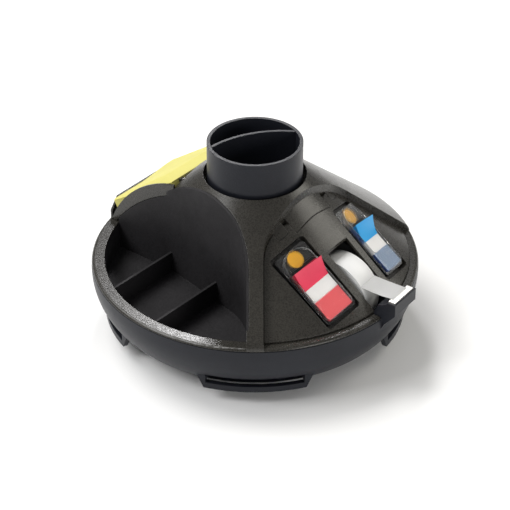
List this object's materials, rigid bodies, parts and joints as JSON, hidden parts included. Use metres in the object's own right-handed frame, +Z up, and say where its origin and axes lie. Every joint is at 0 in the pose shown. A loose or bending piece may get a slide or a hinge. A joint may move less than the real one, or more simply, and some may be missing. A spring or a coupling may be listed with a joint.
{
  "type": "rotating desk organizer",
  "caption": "Domed desk organizer that turns on a low base, with a pen cup, a divided storage scoop, a hinged flag panel, a tape dispenser and a sloping note holder.",
  "frame": {"origin": "on the desk surface under the turning axis", "axes": "+Z up along the turning axis; +X to the right and +Y away from someone who faces the rib between the storage scoop and the flag panel"},
  "size_m": [0.2586, 0.2586, 0.1607],
  "materials": {
    "black_dome": "fine grained",
    "blue_black": "smooth satin",
    "tray_black": "smooth satin",
    "base_black": "satin",
    "foot_rubber": "matt",
    "glide_ivory": "smooth",
    "zinc_steel": "plated",
    "blade_steel": "bright",
    "tape_film": "matt film",
    "tape_wound": "matt wound film",
    "core_card": "plain",
    "hub_black": "satin",
    "case_black": "satin",
    "clear_cover": "clear",
    "red_flags": "coated film",
    "blue_flags": "coated film",
    "red_tab_film": "coated film",
    "blue_tab_film": "coated film",
    "yellow_pad": "plain",
    "yellow_sheet": "plain"
  },
  "bodies": {
    "base": {"base_plate": "base_black", "base_feet": "foot_rubber", "glide_ring": "glide_ivory", "pivot_screw": "zinc_steel", "pivot_washer": "zinc_steel"},
    "turning_body": {"lower_bowl": "blue_black", "dome_cover": "black_dome", "storage_tray": "tray_black", "pen_cup": "blue_black", "cup_divider": "blue_black", "assembly_screws": "zinc_steel", "cutter_blade": "blade_steel", "tape_cradle": "blue_black", "tape_tail": "tape_film", "flag_hinge_pin": "zinc_steel", "notes_hinge_pin": "zinc_steel"},
    "tape": {"tape_hub": "hub_black", "tape_core": "core_card", "tape_roll": "tape_wound"},
    "flag_lid": {"flag_panel": "black_dome", "red_flag_case": "case_black", "red_flag_stack": "red_flags", "red_flag_tab": "red_tab_film", "red_flag_cover": "clear_cover", "blue_flag_case": "case_black", "blue_flag_stack": "blue_flags", "blue_flag_tab": "blue_tab_film", "blue_flag_cover": "clear_cover"},
    "notes_lid": {"notes_holder": "black_dome", "notes_pad": "yellow_pad", "notes_sheet": "yellow_sheet"}
  },
  "joints": [
    {"name": "turntable_spin", "type": "hinge", "parent": "base", "child": "turning_body", "pos_m": [0, 0, 0], "axis": [0, 0, 1], "continuous": true},
    {"name": "tape_spin", "type": "hinge", "parent": "turning_body", "child": "tape", "pos_m": [0.06634, -0.0482, 0.0571], "axis": [0.5878, 0.809, 0], "continuous": true},
    {"name": "flag_panel_hinge", "type": "hinge", "parent": "turning_body", "child": "flag_lid", "pos_m": [0.03802, -0.02763, 0.112], "axis": [-0.5878, -0.809, 0], "range_deg": [0, 75]},
    {"name": "notes_holder_hinge", "type": "hinge", "parent": "turning_body", "child": "notes_lid", "pos_m": [-0.04109, 0.03328, 0.11594], "axis": [0.6293, 0.7771, 0], "range_deg": [0, 65]}
  ]
}
